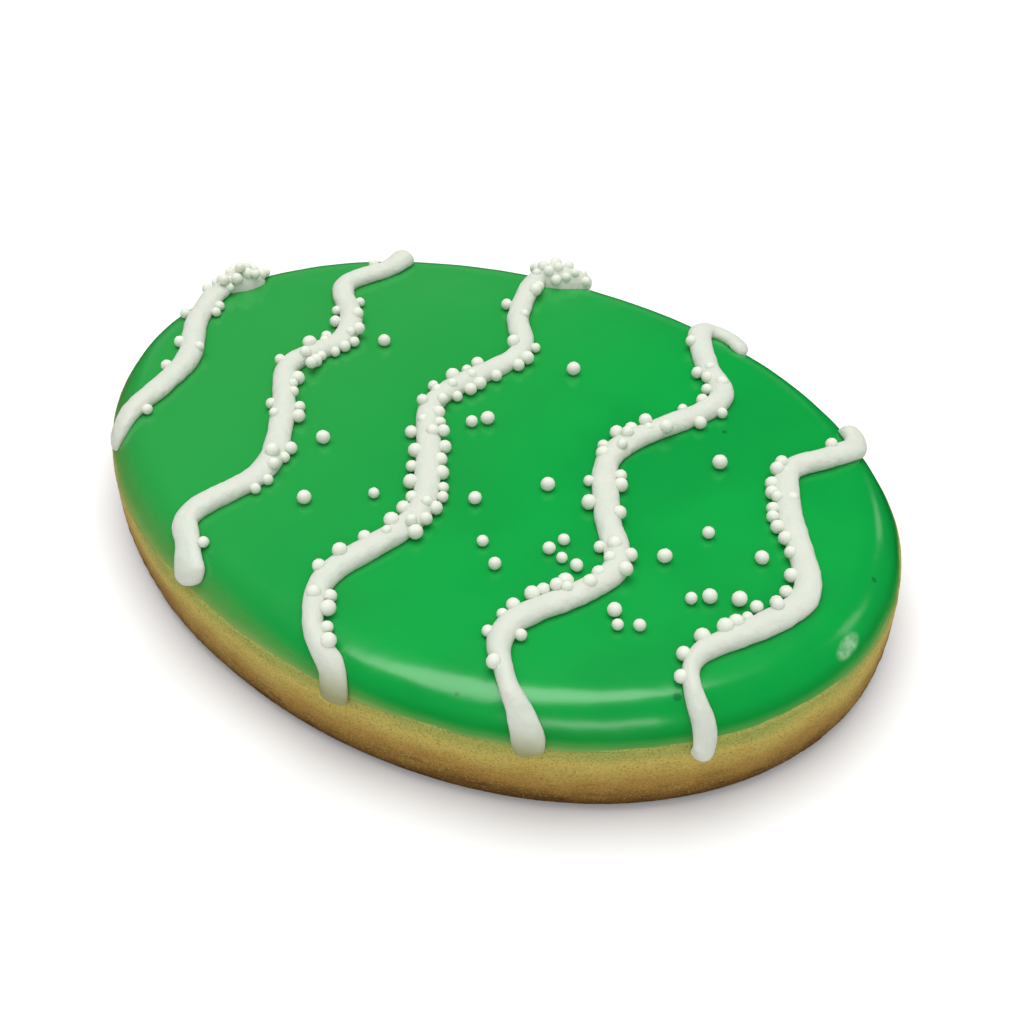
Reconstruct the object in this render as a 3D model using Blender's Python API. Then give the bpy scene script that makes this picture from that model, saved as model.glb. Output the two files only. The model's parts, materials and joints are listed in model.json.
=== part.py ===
"""An egg-shaped iced biscuit with five piped zigzag lines and white sugar beads.

It lies flat on Z = 0, its length along X with the blunter end at +X. The piped
lines cross its width, from the +Y edge to the -Y edge. Sizes are in metres.
"""
import math
import random

import bmesh
import bpy
from mathutils import Matrix, Vector

MM = 0.001
LONE_SEED = 5
GAP = 0.3 * MM                  # kept between solids that touch

# Biscuit: an egg outline, a side baked nearly upright, and a low shoulder
HALF_LENGTH = 50.0 * MM
HALF_WIDTH = 37.3 * MM
BLUNTNESS = 0.047               # how much wider the +X half is
FULLNESS = 0.016                # how much fuller the ends are than an ellipse's
FOOT_ROUND = 0.9 * MM           # how far the base is drawn in
BISCUIT_SHOULDER = 8.2 * MM

# Green icing: poured to the edge, with a rounded shoulder and a slight dome
ICING_EDGE = 8.9 * MM           # height of its edge on the biscuit's side
ICING_INSET = 0.2 * MM
ICING_RISE = 3.9 * MM           # from the edge up to the flat top
ICING_SHOULDER = 5.3 * MM       # width over which it rises
ICING_POWER = 2.6               # how full the shoulder is
ICING_DOME = 0.4 * MM
ICING_THICKNESS = 1.5 * MM
ICING_LIP = 0.45 * MM           # thickness at the edge
GAP_UNDER_ICING = 1.4 * GAP     # measured straight down, on a slope

# Piped lines: a bead of stiff icing with a flat sole and a round top
LINE_WIDTH = 3.0 * MM
LINE_HEIGHT = 1.6 * MM
LINE_POINTS = 7                 # points round the section
LINE_SOLE = math.radians(-34)   # where the round side meets the sole
LINE_TIP = 1.4 * MM             # length of a rounded end
LINE_FLARE = 5.0 * MM           # length over which an end changes shape
NECK_SHARE = 0.6                # half the length of a neck, against its way from the end
LONGEST_STEP = 3.2 * MM
LARGEST_TURN = math.radians(23)

# Sugar beads
BEAD_RADIUS = (0.62 * MM, 0.88 * MM)
FINE_RADIUS = (0.60 * MM, 0.80 * MM)
FACETED = 1.14                  # a twenty-sided ball is grown to a round one's volume
BEAD_BITE = 0.8                 # how near beads' centres come, against their radii's sum
BEAD_LEAN = (-0.6, 0.6)         # how far a bead's centre is off the line's side, in radii
BEAD_SEAT = 0.35                # how far its centre stays over the line's flank, in radii
BEAD_RISE = (0.65, 1.05)        # height of a bead's centre on the line, against the line's
BEAD_SPREAD = 0.6               # how far off the line's middle it is, against half the width
BEAD_NUDGE = 0.05 * MM
LONE_SEAT = 0.6                 # height of a lone bead's centre, in radii
MOUND_LIFT = 1.3 * GAP          # height of a mound's sole, just over the line's
MOUND_FOOT = 0.4                # height of its lowest beads, against its own
SPIRAL_TURN = 2.4               # the golden angle

OUTLINE_STEPS = 46              # faces round the biscuit
SEARCH_STEPS = 360
LEFT, ON_TOP, RIGHT = -1, 0, 1

# Each line from its +Y end to its -Y end, in millimetres on plan. A turn beyond the
# outline hangs down the side by as much as it lies outside. An end's shape is its width
# and height and its neck's width, against the line's, and how far off the neck is. A
# mound is its middle on plan, its heading in degrees from +X, half its length and width,
# its height, and how many beads it holds. A run of beads is its start and end as shares
# of the length, its side seen from above with +X to the right, and its count.
LINES = [
    {
        "seed": 40,
        "turns": [(-43.9, 8.2), (-46.3, 5.2), (-43.5, -3.0), (-38.0, -10.0), (-36.3, -17.0),
                  (-35.8, -21.5), (-35.7, -24.8)],
        "far_end": (1.1, 1.25, 1.1, 5.0),
        "near_end": (1.25, 0.6, 1.0, 5.0),
        "mound": (-45.4, 6.1, 52, 3.5, 1.7, 2.2, 17),
        "beads": [(0.13, 0.22, ON_TOP, 2), (0.05, 0.12, RIGHT, 1), (0.24, 0.33, RIGHT, 2),
                  (0.31, 0.34, LEFT, 1), (0.48, 0.52, LEFT, 1), (0.54, 0.56, RIGHT, 1),
                  (0.65, 0.67, LEFT, 1), (0.85, 0.89, RIGHT, 1)],
    },
    {
        "seed": 26,
        "turns": [(-31.5, 24.6), (-31.5, 20.5), (-33.4, 14.8), (-32.0, 11.9), (-27.5, 8.4),
                  (-25.3, 3.5), (-26.6, -4.2), (-20.5, -11.6), (-15.5, -20.0), (-16.9, -29.6),
                  (-14.6, -32.3), (-11.4, -35.2)],
        "far_end": (1.2, 1.3, 1.0, 5.0),
        "near_end": (1.75, 1.15, 1.0, 6.0),
        "beads": [(0.07, 0.09, LEFT, 1), (0.22, 0.24, RIGHT, 1), (0.21, 0.48, LEFT, 5),
                  (0.25, 0.45, ON_TOP, 4), (0.31, 0.45, RIGHT, 7), (0.49, 0.62, RIGHT, 5),
                  (0.56, 0.58, LEFT, 1), (0.57, 0.76, ON_TOP, 2), (0.68, 0.80, RIGHT, 5),
                  (0.94, 0.96, RIGHT, 1)],
    },
    {
        "seed": 94,
        "turns": [(-7.8, 33.5), (-11.2, 33.9), (-13.8, 30.0), (-10.5, 21.3), (-5.6, 14.5),
                  (-7.9, 1.2), (-2.0, -7.4), (3.2, -16.0), (1.5, -28.0), (4.6, -33.7),
                  (9.0, -35.8), (10.1, -38.1)],
        "far_end": (0.8, 1.2, 1.0, 5.0),
        "near_end": (1.35, 0.5, 0.78, 8.0),
        "mound": (-11.7, 32.2, 31, 4.2, 1.9, 2.5, 17),
        "beads": [(0.12, 0.15, RIGHT, 2), (0.16, 0.19, LEFT, 1),
                  (0.20, 0.22, ON_TOP, 1), (0.27, 0.34, RIGHT, 3), (0.28, 0.30, LEFT, 1),
                  (0.35, 0.45, LEFT, 4), (0.35, 0.47, RIGHT, 5), (0.38, 0.55, ON_TOP, 6),
                  (0.48, 0.60, RIGHT, 5), (0.52, 0.78, LEFT, 8), (0.61, 0.73, RIGHT, 6),
                  (0.66, 0.76, ON_TOP, 3), (0.77, 0.90, ON_TOP, 2), (0.82, 0.85, LEFT, 1),
                  (0.86, 0.96, RIGHT, 4)],
    },
    {
        "seed": 39,
        "turns": [(16.2, 32.2), (12.9, 34.4), (10.1, 33.7), (10.6, 31.0), (14.5, 26.3),
                  (19.2, 20.6), (14.4, 6.0), (19.4, -3.3), (24.9, -10.7), (20.7, -22.8),
                  (24.0, -28.0), (28.0, -30.2), (29.9, -31.6)],
        "far_end": (0.8, 0.8, 1.0, 5.0),
        "near_end": (1.35, 0.5, 0.66, 6.5),
        "beads": [(0.12, 0.15, LEFT, 1), (0.19, 0.25, LEFT, 3), (0.19, 0.25, ON_TOP, 2),
                  (0.27, 0.35, LEFT, 2), (0.28, 0.34, RIGHT, 2), (0.36, 0.49, ON_TOP, 5),
                  (0.38, 0.47, LEFT, 4), (0.50, 0.55, RIGHT, 2), (0.51, 0.59, LEFT, 2),
                  (0.58, 0.61, RIGHT, 1), (0.63, 0.66, LEFT, 1), (0.64, 0.77, ON_TOP, 5),
                  (0.65, 0.70, RIGHT, 2), (0.70, 0.79, LEFT, 6), (0.79, 0.87, LEFT, 4),
                  (0.84, 0.87, RIGHT, 1), (0.90, 0.92, LEFT, 1)],
    },
    {
        "seed": 49,
        "turns": [(32.6, 26.4), (34.7, 25.0), (35.6, 22.6), (34.3, 19.4), (31.9, 14.5),
                  (35.3, 8.2), (42.0, -0.5), (41.5, -6.5), (37.8, -14.8), (39.2, -18.7),
                  (41.8, -20.2), (42.4, -21.4), (42.2, -22.4)],
        "far_end": (1.05, 1.2, 1.0, 5.0),
        "near_end": (0.95, 0.7, 0.6, 7.0),
        "beads": [(0.12, 0.15, LEFT, 1), (0.23, 0.42, LEFT, 8), (0.33, 0.34, ON_TOP, 1),
                  (0.43, 0.50, LEFT, 2), (0.53, 0.55, LEFT, 1), (0.58, 0.66, LEFT, 2),
                  (0.65, 0.67, ON_TOP, 1), (0.66, 0.78, LEFT, 5), (0.79, 0.86, LEFT, 2),
                  (0.88, 0.90, LEFT, 1)],
    },
]

# Lone beads on the green icing: the first of each group in millimetres on plan, how
# many lie together, and the heading of the rest in degrees from +X
LONE_BEADS = [
    (-20.7, 6.9, 1, 0), (-13.8, -12.0, 1, 0), (-8.5, -20.9, 1, 0), (-2.9, -15.8, 1, 0),
    (1.8, 15.9, 1, 0), (-0.7, 1.9, 2, -110), (6.6, -10.0, 1, 0), (11.3, -14.8, 1, 0),
    (14.4, -16.8, 1, 0), (11.7, -3.5, 1, 0), (28.0, -5.5, 1, 0), (28.0, -15.0, 2, -30),
    (31.1, -15.2, 1, 0), (25.0, 11.1, 1, 0), (29.8, 0.4, 1, 0), (36.2, 0.4, 1, 0),
    (33.3, -9.0, 2, 22), (37.3, -6.3, 2, 14), (18.1, -9.6, 1, 0), (17.6, -11.6, 3, -15),
]
LONE_SPACING = 1.9 * MM
LONE_CLEARANCE = 0.6 * MM


def make_material(name, colour, roughness):
    material = bpy.data.materials.new(name)
    material.use_nodes = True
    shader = material.node_tree.nodes["Principled BSDF"]
    shader.inputs["Base Color"].default_value = (*colour, 1.0)
    shader.inputs["Roughness"].default_value = roughness
    shader.inputs["Metallic"].default_value = 0.0
    return material


def outline(turn):
    """The egg's edge and its outward normal, at an angle round it."""
    cosine, sine = math.cos(turn), math.sin(turn)
    swell = 1 + BLUNTNESS * cosine + FULLNESS * cosine ** 2
    swell_change = -sine * (BLUNTNESS + 2 * FULLNESS * cosine)
    point = Vector((HALF_LENGTH * cosine, HALF_WIDTH * sine * swell))
    along = Vector((-HALF_LENGTH * sine, HALF_WIDTH * (cosine * swell + sine * swell_change)))
    return point, Vector((along.y, -along.x)).normalized()


EDGE_SAMPLES = [outline(math.tau * step / SEARCH_STEPS) for step in range(SEARCH_STEPS)]


def edge_distance(x, y):
    """How far a point lies inside the outline, and the outward normal nearest to it."""
    spot = Vector((x, y))
    point, outward = min(EDGE_SAMPLES, key=lambda sample: (sample[0] - spot).length_squared)
    return (point - spot).dot(outward), outward


def icing_height(x, y):
    inside, _ = edge_distance(x, y)
    share = min(1.0, max(0.0, (inside - ICING_INSET) / ICING_SHOULDER))
    dome = max(0.0, 1 - (x / HALF_LENGTH) ** 2 - (y / HALF_WIDTH) ** 2)
    return ICING_EDGE + ICING_RISE * (1 - (1 - share) ** ICING_POWER) + ICING_DOME * dome


def lay(x, y, lift):
    """A point that lies lift off the icing, and the surface's normal there."""
    inside, outward = edge_distance(x, y)
    over = ICING_INSET - inside
    if over > 0:
        foot = Vector((x, y)) - outward * max(0.0, over - ICING_INSET)
        spot = Vector((foot.x, foot.y, ICING_EDGE - over))
        normal = outward.to_3d()
    else:
        reach = 0.1 * MM
        spot = Vector((x, y, icing_height(x, y)))
        normal = Vector((icing_height(x - reach, y) - icing_height(x + reach, y),
                         icing_height(x, y - reach) - icing_height(x, y + reach),
                         2 * reach)).normalized()
    return spot + normal * lift, normal


def egg_ring(inset, height, shrink=1.0):
    """Points round the outline, moved in by inset, at one height."""
    ring = []
    for step in range(OUTLINE_STEPS):
        point, outward = outline(math.tau * step / OUTLINE_STEPS)
        spot = (point - outward * inset) * shrink
        ring.append(Vector((spot.x, spot.y, height)))
    return ring


def domed(ring, drop=0.0):
    """The ring with each point at the icing's height, less drop."""
    return [Vector((point.x, point.y, icing_height(point.x, point.y) - drop)) for point in ring]


def rings_under_icing():
    """Where the icing's underside and the biscuit's top have their rings."""
    rings = [egg_ring(inset, 0.0) for inset in (1.6 * MM, 6.0 * MM)]
    return rings + [egg_ring(6.0 * MM, 0.0, 0.4)]


def loft(name, rings, material, collection):
    """A closed solid through rings of like count, capped by its first and last."""
    mesh = bmesh.new()
    rows = [[mesh.verts.new(point) for point in ring] for ring in rings]
    count = len(rows[0])
    for lower, upper in zip(rows, rows[1:]):
        for step in range(count):
            following = (step + 1) % count
            mesh.faces.new((lower[step], lower[following], upper[following], upper[step]))
    mesh.faces.new(list(reversed(rows[0])))
    mesh.faces.new(rows[-1])
    bmesh.ops.recalc_face_normals(mesh, faces=mesh.faces)
    return add_object(name, mesh, material, collection)


def add_object(name, mesh, material, collection):
    data = bpy.data.meshes.new(name)
    mesh.to_mesh(data)
    mesh.free()
    data.materials.append(material)
    data.shade_smooth()
    data.set_sharp_from_angle(angle=math.radians(40))
    thing = bpy.data.objects.new(name, data)
    collection.objects.link(thing)
    return thing


def make_biscuit(material, collection):
    """The baked slab: flat base, upright side, and a top that follows the icing."""
    side = [
        egg_ring(FOOT_ROUND, 0.0),
        egg_ring(0.25 * MM, 0.8 * MM),
        egg_ring(0.0, 2.5 * MM),
        egg_ring(0.0, 6.0 * MM),
        egg_ring(0.1 * MM, BISCUIT_SHOULDER),
    ]
    top = [domed(ring, ICING_THICKNESS + GAP_UNDER_ICING) for ring in rings_under_icing()]
    return loft("biscuit", side + top, material, collection)


def make_icing(material, collection):
    """The poured layer: a thin lip at its edge, 1.5 mm thick over the top."""
    under = [domed(ring, ICING_THICKNESS) for ring in reversed(rings_under_icing())]
    under.append(egg_ring(ICING_INSET + ICING_LIP, ICING_EDGE))
    upper = [egg_ring(ICING_INSET, ICING_EDGE)]
    for inset in (0.6 * MM, 1.3 * MM, 2.4 * MM, 4.0 * MM, 6.4 * MM):
        upper.append(domed(egg_ring(inset, 0.0)))
    upper.append(domed(egg_ring(6.4 * MM, 0.0, 0.5)))
    return loft("green_icing", under + upper, material, collection)


def smooth_path(turns):
    """Close points along a curve through the turns, with the length run to each."""
    knots = [Vector(turn) * MM for turn in turns]
    knots = [2 * knots[0] - knots[1]] + knots + [2 * knots[-1] - knots[-2]]
    points = []
    for before, start, end, after in zip(knots, knots[1:], knots[2:], knots[3:]):
        for step in range(24):
            share = step / 24
            bend = 2 * before - 5 * start + 4 * end - after
            twist = 3 * start - before - 3 * end + after
            points.append((2 * start + (end - before) * share + bend * share ** 2
                           + twist * share ** 3) / 2)
    points.append(knots[-2])
    run = [0.0]
    for first, second in zip(points, points[1:]):
        run.append(run[-1] + (second - first).length)
    return points, run


def at_length(points, run, length):
    """The point and the direction at a length along a path."""
    last = len(run) - 2
    index = next((step for step in range(last) if run[step + 1] >= length), last)
    share = (length - run[index]) / (run[index + 1] - run[index])
    step = points[index + 1] - points[index]
    return points[index] + step * share, step.normalized()


def station_lengths(points, run):
    """Lengths at which the sweep gets a section: closer where it bends or drops."""
    total = run[-1]
    ends = [share * LINE_TIP for share in (0.0, 0.15, 0.5)]
    chosen = list(ends)
    frames = [lay(point.x, point.y, 0.0) for point in points]
    turned = 0.0
    for step in range(1, len(points) - 1):
        before = (frames[step][0] - frames[step - 1][0]).normalized()
        after = (frames[step + 1][0] - frames[step][0]).normalized()
        turned += before.angle(after)
        far_enough = run[step] - chosen[-1]
        if run[step] < LINE_TIP or run[step] > total - LINE_TIP:
            continue
        if far_enough > LONGEST_STEP or (turned > LARGEST_TURN and far_enough > 0.5 * MM):
            chosen.append(run[step])
            turned = 0.0
    return chosen + [total - length for length in reversed(ends)]


def end_scale(length, total, far_end, near_end):
    """Width and height of the section against the line's, at a length along it."""
    width, height = 1.0, 1.0
    for distance, end in ((length, far_end), (total - length, near_end)):
        end_width, end_height, neck, reach = end
        flare = max(0.0, 1 - distance / LINE_FLARE) ** 1.5
        width += (end_width - 1) * flare
        height += (end_height - 1) * flare
        width += (neck - 1) * math.exp(-((distance / (reach * MM) - 1) / NECK_SHARE) ** 2)
        if distance < LINE_TIP:
            tip = math.sqrt(max(0.1, 1 - (1 - distance / LINE_TIP) ** 2))
            width *= tip
            height *= tip
    return width, height


def line_frame(points, run, length):
    """On plan and in space: a point of the line, with the way to its right and up."""
    point, direction = at_length(points, run, length)
    base, normal = lay(point.x, point.y, GAP)
    ahead, _ = lay(point.x + direction.x * MM / 2, point.y + direction.y * MM / 2, GAP)
    return point, base, normal.cross(ahead - base).normalized(), normal


def mound_frame(mound, lift):
    """The matrix that takes a ball of radius 1 to a mound's place and size."""
    x, y, degrees, half_length, half_width, height, _ = mound
    base, normal = lay(x * MM, y * MM, lift)
    along = Vector((math.cos(math.radians(degrees)), math.sin(math.radians(degrees)), 0))
    across = normal.cross(along).normalized()
    columns = (across.cross(normal) * half_length, across * half_width, normal * height)
    return Matrix.Translation(base) @ (Matrix(columns).transposed() * MM).to_4x4()


def add_mound(mound, material, collection):
    """A dome of icing, flat under, that thickens a line's end."""
    frame = mound_frame(mound, MOUND_LIFT)
    mesh = bmesh.new()
    bmesh.ops.create_icosphere(mesh, subdivisions=2, radius=1)
    for vertex in mesh.verts:
        vertex.co = frame @ Vector((vertex.co.x, vertex.co.y, max(0.0, vertex.co.z)))
    add_object("mound", mesh, material, collection)


def make_line(number, line, material, collection):
    points, run = smooth_path(line["turns"])
    rings = []
    for length in station_lengths(points, run):
        _, base, right, normal = line_frame(points, run, length)
        width, height = end_scale(length, run[-1], line["far_end"], line["near_end"])
        ring = []
        for step in range(LINE_POINTS):
            angle = LINE_SOLE + (math.pi - 2 * LINE_SOLE) * step / (LINE_POINTS - 1)
            rise = (math.sin(angle) - math.sin(LINE_SOLE)) / (1 - math.sin(LINE_SOLE))
            ring.append(base + right * (math.cos(angle) * width * LINE_WIDTH / 2)
                        + normal * (rise * height * LINE_HEIGHT))
        rings.append(ring)
    return loft("piped_line_%d" % number, rings, material, collection)


def settle(spot, radius, placed, push):
    """Moves a bead along push until it no longer sinks into those placed before it."""
    centre = spot.copy()
    while any((centre - other).length < BEAD_BITE * (radius + size) for other, size in placed):
        centre += push * BEAD_NUDGE
    return centre


def beads_of_line(line, lone):
    """Centres and radii of the beads that touch a line."""
    draw = random.Random(line["seed"])
    points, run = smooth_path(line["turns"])
    placed = beads_of_mound(line["mound"], MOUND_LIFT, draw) if "mound" in line else []
    for start, end, side, count in line["beads"]:
        for index in range(count):
            length = run[-1] * (start + (end - start) * (index + draw.uniform(0.3, 0.7)) / count)
            point, _, right, _ = line_frame(points, run, length)
            radius = draw.uniform(*BEAD_RADIUS)
            width, height = end_scale(length, run[-1], line["far_end"], line["near_end"])
            half = width * LINE_WIDTH / 2
            if side in (LEFT, RIGHT):
                lean = (draw.uniform(*BEAD_LEAN) + min(0.0, height - 1)) * radius
                offset = right * side * (half + lean)
                flank = math.sqrt(max(0.0, 1 - (1 + lean / half) ** 2)) * height * LINE_HEIGHT
                lift = GAP + max(FACETED * radius, flank + BEAD_SEAT * radius)
            else:
                offset = right * draw.uniform(-BEAD_SPREAD, BEAD_SPREAD) * half
                lift = GAP + draw.uniform(*BEAD_RISE) * height * LINE_HEIGHT
            spot, normal = lay(point.x + offset.x, point.y + offset.y, lift)
            push = offset.normalized() if side in (LEFT, RIGHT) else normal
            centre = settle(spot, radius, placed, push)
            if all((centre - other).length > radius + size + LONE_CLEARANCE for other, size in lone):
                placed.append((centre, radius))
    return placed


def beads_of_mound(mound, lift, draw):
    """Centres and radii of the beads in a mound, from its top down in a spiral."""
    frame = mound_frame(mound, lift)
    placed = []
    for index in range(mound[-1]):
        rise = 1 - (1 - MOUND_FOOT) * (index + 0.5) / mound[-1]
        turn = SPIRAL_TURN * index + draw.uniform(-0.3, 0.3)
        spread = math.sqrt(1 - rise ** 2)
        spot = frame @ Vector((spread * math.cos(turn), spread * math.sin(turn), rise))
        radius = draw.uniform(*FINE_RADIUS)
        placed.append((settle(spot, radius, placed, (spot - frame.translation).normalized()), radius))
    return placed


def lone_beads():
    """Centres and radii of the beads that lie on the green icing by themselves."""
    draw = random.Random(LONE_SEED)
    placed = []
    for x, y, count, degrees in LONE_BEADS:
        spot = Vector((x, y)) * MM
        heading = math.radians(degrees)
        for _ in range(count):
            radius = draw.uniform(*BEAD_RADIUS)
            placed.append((lay(spot.x, spot.y, LONE_SEAT * radius)[0], radius))
            heading += draw.uniform(-0.4, 0.4)
            spot += Vector((math.cos(heading), math.sin(heading))) * LONE_SPACING
    return placed


def fuse_beads(carrier, beads, material, mound=None):
    """Joins the beads, and a mound, to the piece that carries them, in one union."""
    draw = random.Random(len(beads))
    balls = bpy.data.collections.new(carrier.name + "_beads")
    bpy.context.scene.collection.children.link(balls)
    for centre, radius in beads:
        mesh = bmesh.new()
        turned = Matrix.Rotation(draw.uniform(0, math.tau), 4, Vector((draw.random(), draw.random(), 1)))
        bmesh.ops.create_icosphere(mesh, subdivisions=1, radius=radius * FACETED,
                                   matrix=Matrix.Translation(centre) @ turned)
        add_object(carrier.name + "_bead", mesh, material, balls)
    if mound:
        add_mound(mound, material, balls)
    union = carrier.modifiers.new("beads", "BOOLEAN")
    union.operation = "UNION"
    union.operand_type = "COLLECTION"
    union.collection = balls
    union.solver = "MANIFOLD"
    depsgraph = bpy.context.evaluated_depsgraph_get()
    joined = bpy.data.meshes.new_from_object(carrier.evaluated_get(depsgraph))
    carrier.modifiers.clear()
    carrier.data = joined
    for ball in list(balls.objects):
        bpy.data.objects.remove(ball)
    bpy.data.collections.remove(balls)


def centre_on_box(things):
    """Moves every mesh so that the whole stands over the origin."""
    corners = [vertex.co for thing in things for vertex in thing.data.vertices]
    middle = [(min(c[axis] for c in corners) + max(c[axis] for c in corners)) / 2 for axis in (0, 1)]
    for thing in things:
        thing.data.transform(Matrix.Translation((-middle[0], -middle[1], 0)))


def main():
    for thing in list(bpy.data.objects):
        bpy.data.objects.remove(thing)
    cookie = bpy.data.collections.new("cookie")
    bpy.context.scene.collection.children.link(cookie)

    baked = make_material("baked_biscuit", (0.36, 0.26, 0.07), 0.85)
    green = make_material("green_icing", (0.01, 0.38, 0.06), 0.35)
    white = make_material("white_icing", (0.70, 0.75, 0.68), 0.5)

    lone = lone_beads()
    biscuit = make_biscuit(baked, cookie)
    icing = make_icing(green, cookie)
    fuse_beads(icing, lone, white)
    lines = []
    for number, line in enumerate(LINES, start=1):
        piped = make_line(number, line, white, cookie)
        mound = line.get("mound")
        beads = beads_of_line(line, lone)
        fuse_beads(piped, beads, white, mound)
        lines.append(piped)
    centre_on_box([biscuit, icing] + lines)


main()
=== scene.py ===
"""The looks of an egg-shaped iced biscuit with piped zigzags and white sugar beads."""
import json
import math
import random

import bmesh
import bpy
from mathutils import Matrix, Vector, noise

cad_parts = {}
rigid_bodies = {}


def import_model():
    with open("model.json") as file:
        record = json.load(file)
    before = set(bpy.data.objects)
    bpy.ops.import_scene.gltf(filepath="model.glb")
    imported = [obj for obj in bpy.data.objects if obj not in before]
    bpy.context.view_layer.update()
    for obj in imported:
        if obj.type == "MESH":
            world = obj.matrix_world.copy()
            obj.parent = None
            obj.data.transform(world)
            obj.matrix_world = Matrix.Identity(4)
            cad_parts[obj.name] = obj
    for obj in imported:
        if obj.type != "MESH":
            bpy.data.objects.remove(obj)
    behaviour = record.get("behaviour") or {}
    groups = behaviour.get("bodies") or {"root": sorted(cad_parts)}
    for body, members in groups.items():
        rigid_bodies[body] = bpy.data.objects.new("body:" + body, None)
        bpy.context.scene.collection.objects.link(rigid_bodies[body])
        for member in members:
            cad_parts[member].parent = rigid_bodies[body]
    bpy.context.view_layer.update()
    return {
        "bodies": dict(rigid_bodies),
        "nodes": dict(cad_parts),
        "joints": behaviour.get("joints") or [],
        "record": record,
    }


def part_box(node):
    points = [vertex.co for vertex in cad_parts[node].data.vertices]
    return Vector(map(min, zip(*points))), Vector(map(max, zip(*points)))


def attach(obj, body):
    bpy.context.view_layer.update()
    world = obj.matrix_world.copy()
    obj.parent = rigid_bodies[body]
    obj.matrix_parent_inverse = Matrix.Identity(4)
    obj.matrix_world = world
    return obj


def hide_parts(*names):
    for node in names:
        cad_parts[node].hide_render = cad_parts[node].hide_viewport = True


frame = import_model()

# The biscuit is rolled sugar dough, cut with an egg cutter and baked pale. Its cut side
# stands nearly upright, finely grained, with short cracks darkened by painted shade, and is
# browned along the foot where it lay on the tray; the darkest colour at the very foot is
# painted contact shade as well as browning. It carries the icing and rests on its flat base.
MM = 0.001
HALF_LENGTH = 50.0 * MM
HALF_WIDTH = 37.3 * MM
BLUNTNESS = 0.047
FULLNESS = 0.016
BISCUIT_POINTS = 840
SIDE_STEP = 0.35 * MM
WIDEST_LOW = 2.5 * MM
WIDEST_HIGH = 6.0 * MM
FOOT_STEPS = [(0.03, 0.4), (0.07, 0.45), (0.13, 0.5), (0.15, 0.4), (0.2, 0.35), (0.22, 0.25),
              (0.25, 0.15)]
BASE_RINGS = 3
BASE_RING = 1.5 * MM
SHOULDER_STEPS = [(0.02, 0.5), (0.02, 0.5), (0.03, 0.6), (0.04, 0.6), (0.06, 0.55), (0.12, 0.35),
                  (0.35, 0.3), (0.6, 0.45), (1.4, 0.75), (3.0, 0.45), (8.0, 0.1)]
TAN = (0.53, 0.42, 0.10, 1)
STAINED = (0.34, 0.37, 0.085, 1)
GOLD = (0.36, 0.212, 0.046, 1)
BROWN = (0.127, 0.052, 0.007, 1)
DARK_CRUST_AND_SHADE = (0.048, 0.019, 0.003, 1)
PALE_GRAIN = (0.62, 0.50, 0.18, 1)
DARK_GRAIN = (0.15, 0.085, 0.02, 1)
FLAT_FOOT = 0.25 * MM
CRUMB_TOP = 9.0 * MM
PATCHES = 3.0 * MM
WAVE_HEIGHT = 3.0 * MM
GRAIN = 0.22 * MM
GRAIN_DEPTH = 0.14 * MM
CRACK_DEPTH = 0.30 * MM
low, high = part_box("biscuit")
MIDDLE = Vector(((low.x + high.x) / 2, (low.y + high.y) / 2, 0))


def outline(turn):
    """The egg's edge and its outward normal, at an angle round it."""
    cosine, sine = math.cos(turn), math.sin(turn)
    swell = 1 + BLUNTNESS * cosine + FULLNESS * cosine ** 2
    swell_change = -sine * (BLUNTNESS + 2 * FULLNESS * cosine)
    point = Vector((HALF_LENGTH * cosine, HALF_WIDTH * sine * swell))
    along = Vector((-HALF_LENGTH * sine, HALF_WIDTH * (cosine * swell + sine * swell_change)))
    return point, Vector((along.y, -along.x)).normalized()


def cut_egg(name, points, inset, height):
    """A flat egg-shaped face, in edit mode, with the face selected."""
    bpy.ops.object.select_all(action="DESELECT")
    bpy.ops.mesh.primitive_circle_add(vertices=points, radius=1, fill_type="NGON")
    thing = bpy.context.object
    thing.name = name
    thing.data.name = name
    for vertex in thing.data.vertices:
        point, outward = outline(math.atan2(vertex.co.y, vertex.co.x))
        edge = point - outward * inset
        vertex.co = (edge.x, edge.y, height)
    bpy.ops.object.mode_set(mode="EDIT")
    bpy.ops.mesh.select_all(action="SELECT")
    return thing


def select_faces(thing, wanted):
    """Selects, in edit mode, the faces whose middle and normal pass the test."""
    mesh = bmesh.from_edit_mesh(thing.data)
    bpy.ops.mesh.select_all(action="DESELECT")
    for face in mesh.faces:
        if wanted(face.calc_center_median(), face.normal):
            face.select_set(True)
    mesh.select_flush(True)
    bmesh.update_edit_mesh(thing.data)


def weigh(thing, group_name, weight_at):
    """Gives each vertex its weight in a group, by its place."""
    group = thing.vertex_groups.new(name=group_name)
    for vertex in thing.data.vertices:
        group.add([vertex.index], min(1.0, max(0.0, weight_at(vertex.co))), "REPLACE")


def roughen(thing, name, grain, strength, group, direction="NORMAL", depth=2):
    """Displaces a piece by a cloudy texture with lumps of about one grain."""
    texture = bpy.data.textures.new(name, "CLOUDS")
    texture.noise_scale = grain
    texture.noise_depth = depth
    modifier = thing.modifiers.new(name, "DISPLACE")
    modifier.texture = texture
    modifier.strength = strength
    modifier.mid_level = 0.5
    modifier.direction = direction
    modifier.vertex_group = group
    bpy.ops.object.modifier_apply(modifier=name)


def set_down(thing, slot, *nodes):
    """Puts a finished piece at its place in the frame, to ride with the cookie."""
    thing.data.transform(Matrix.Translation(MIDDLE))
    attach(thing, "root")
    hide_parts(*nodes)


def node(tree, kind, inputs=None, **settings):
    """Adds a shader node, with its settings, and sets or links its inputs."""
    made = tree.nodes.new("ShaderNode" + kind)
    for setting, value in settings.items():
        setattr(made, setting, value)
    for socket, value in (inputs or {}).items():
        if isinstance(value, bpy.types.NodeSocket):
            tree.links.new(value, made.inputs[socket])
        else:
            made.inputs[socket].default_value = value
    return made


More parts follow.
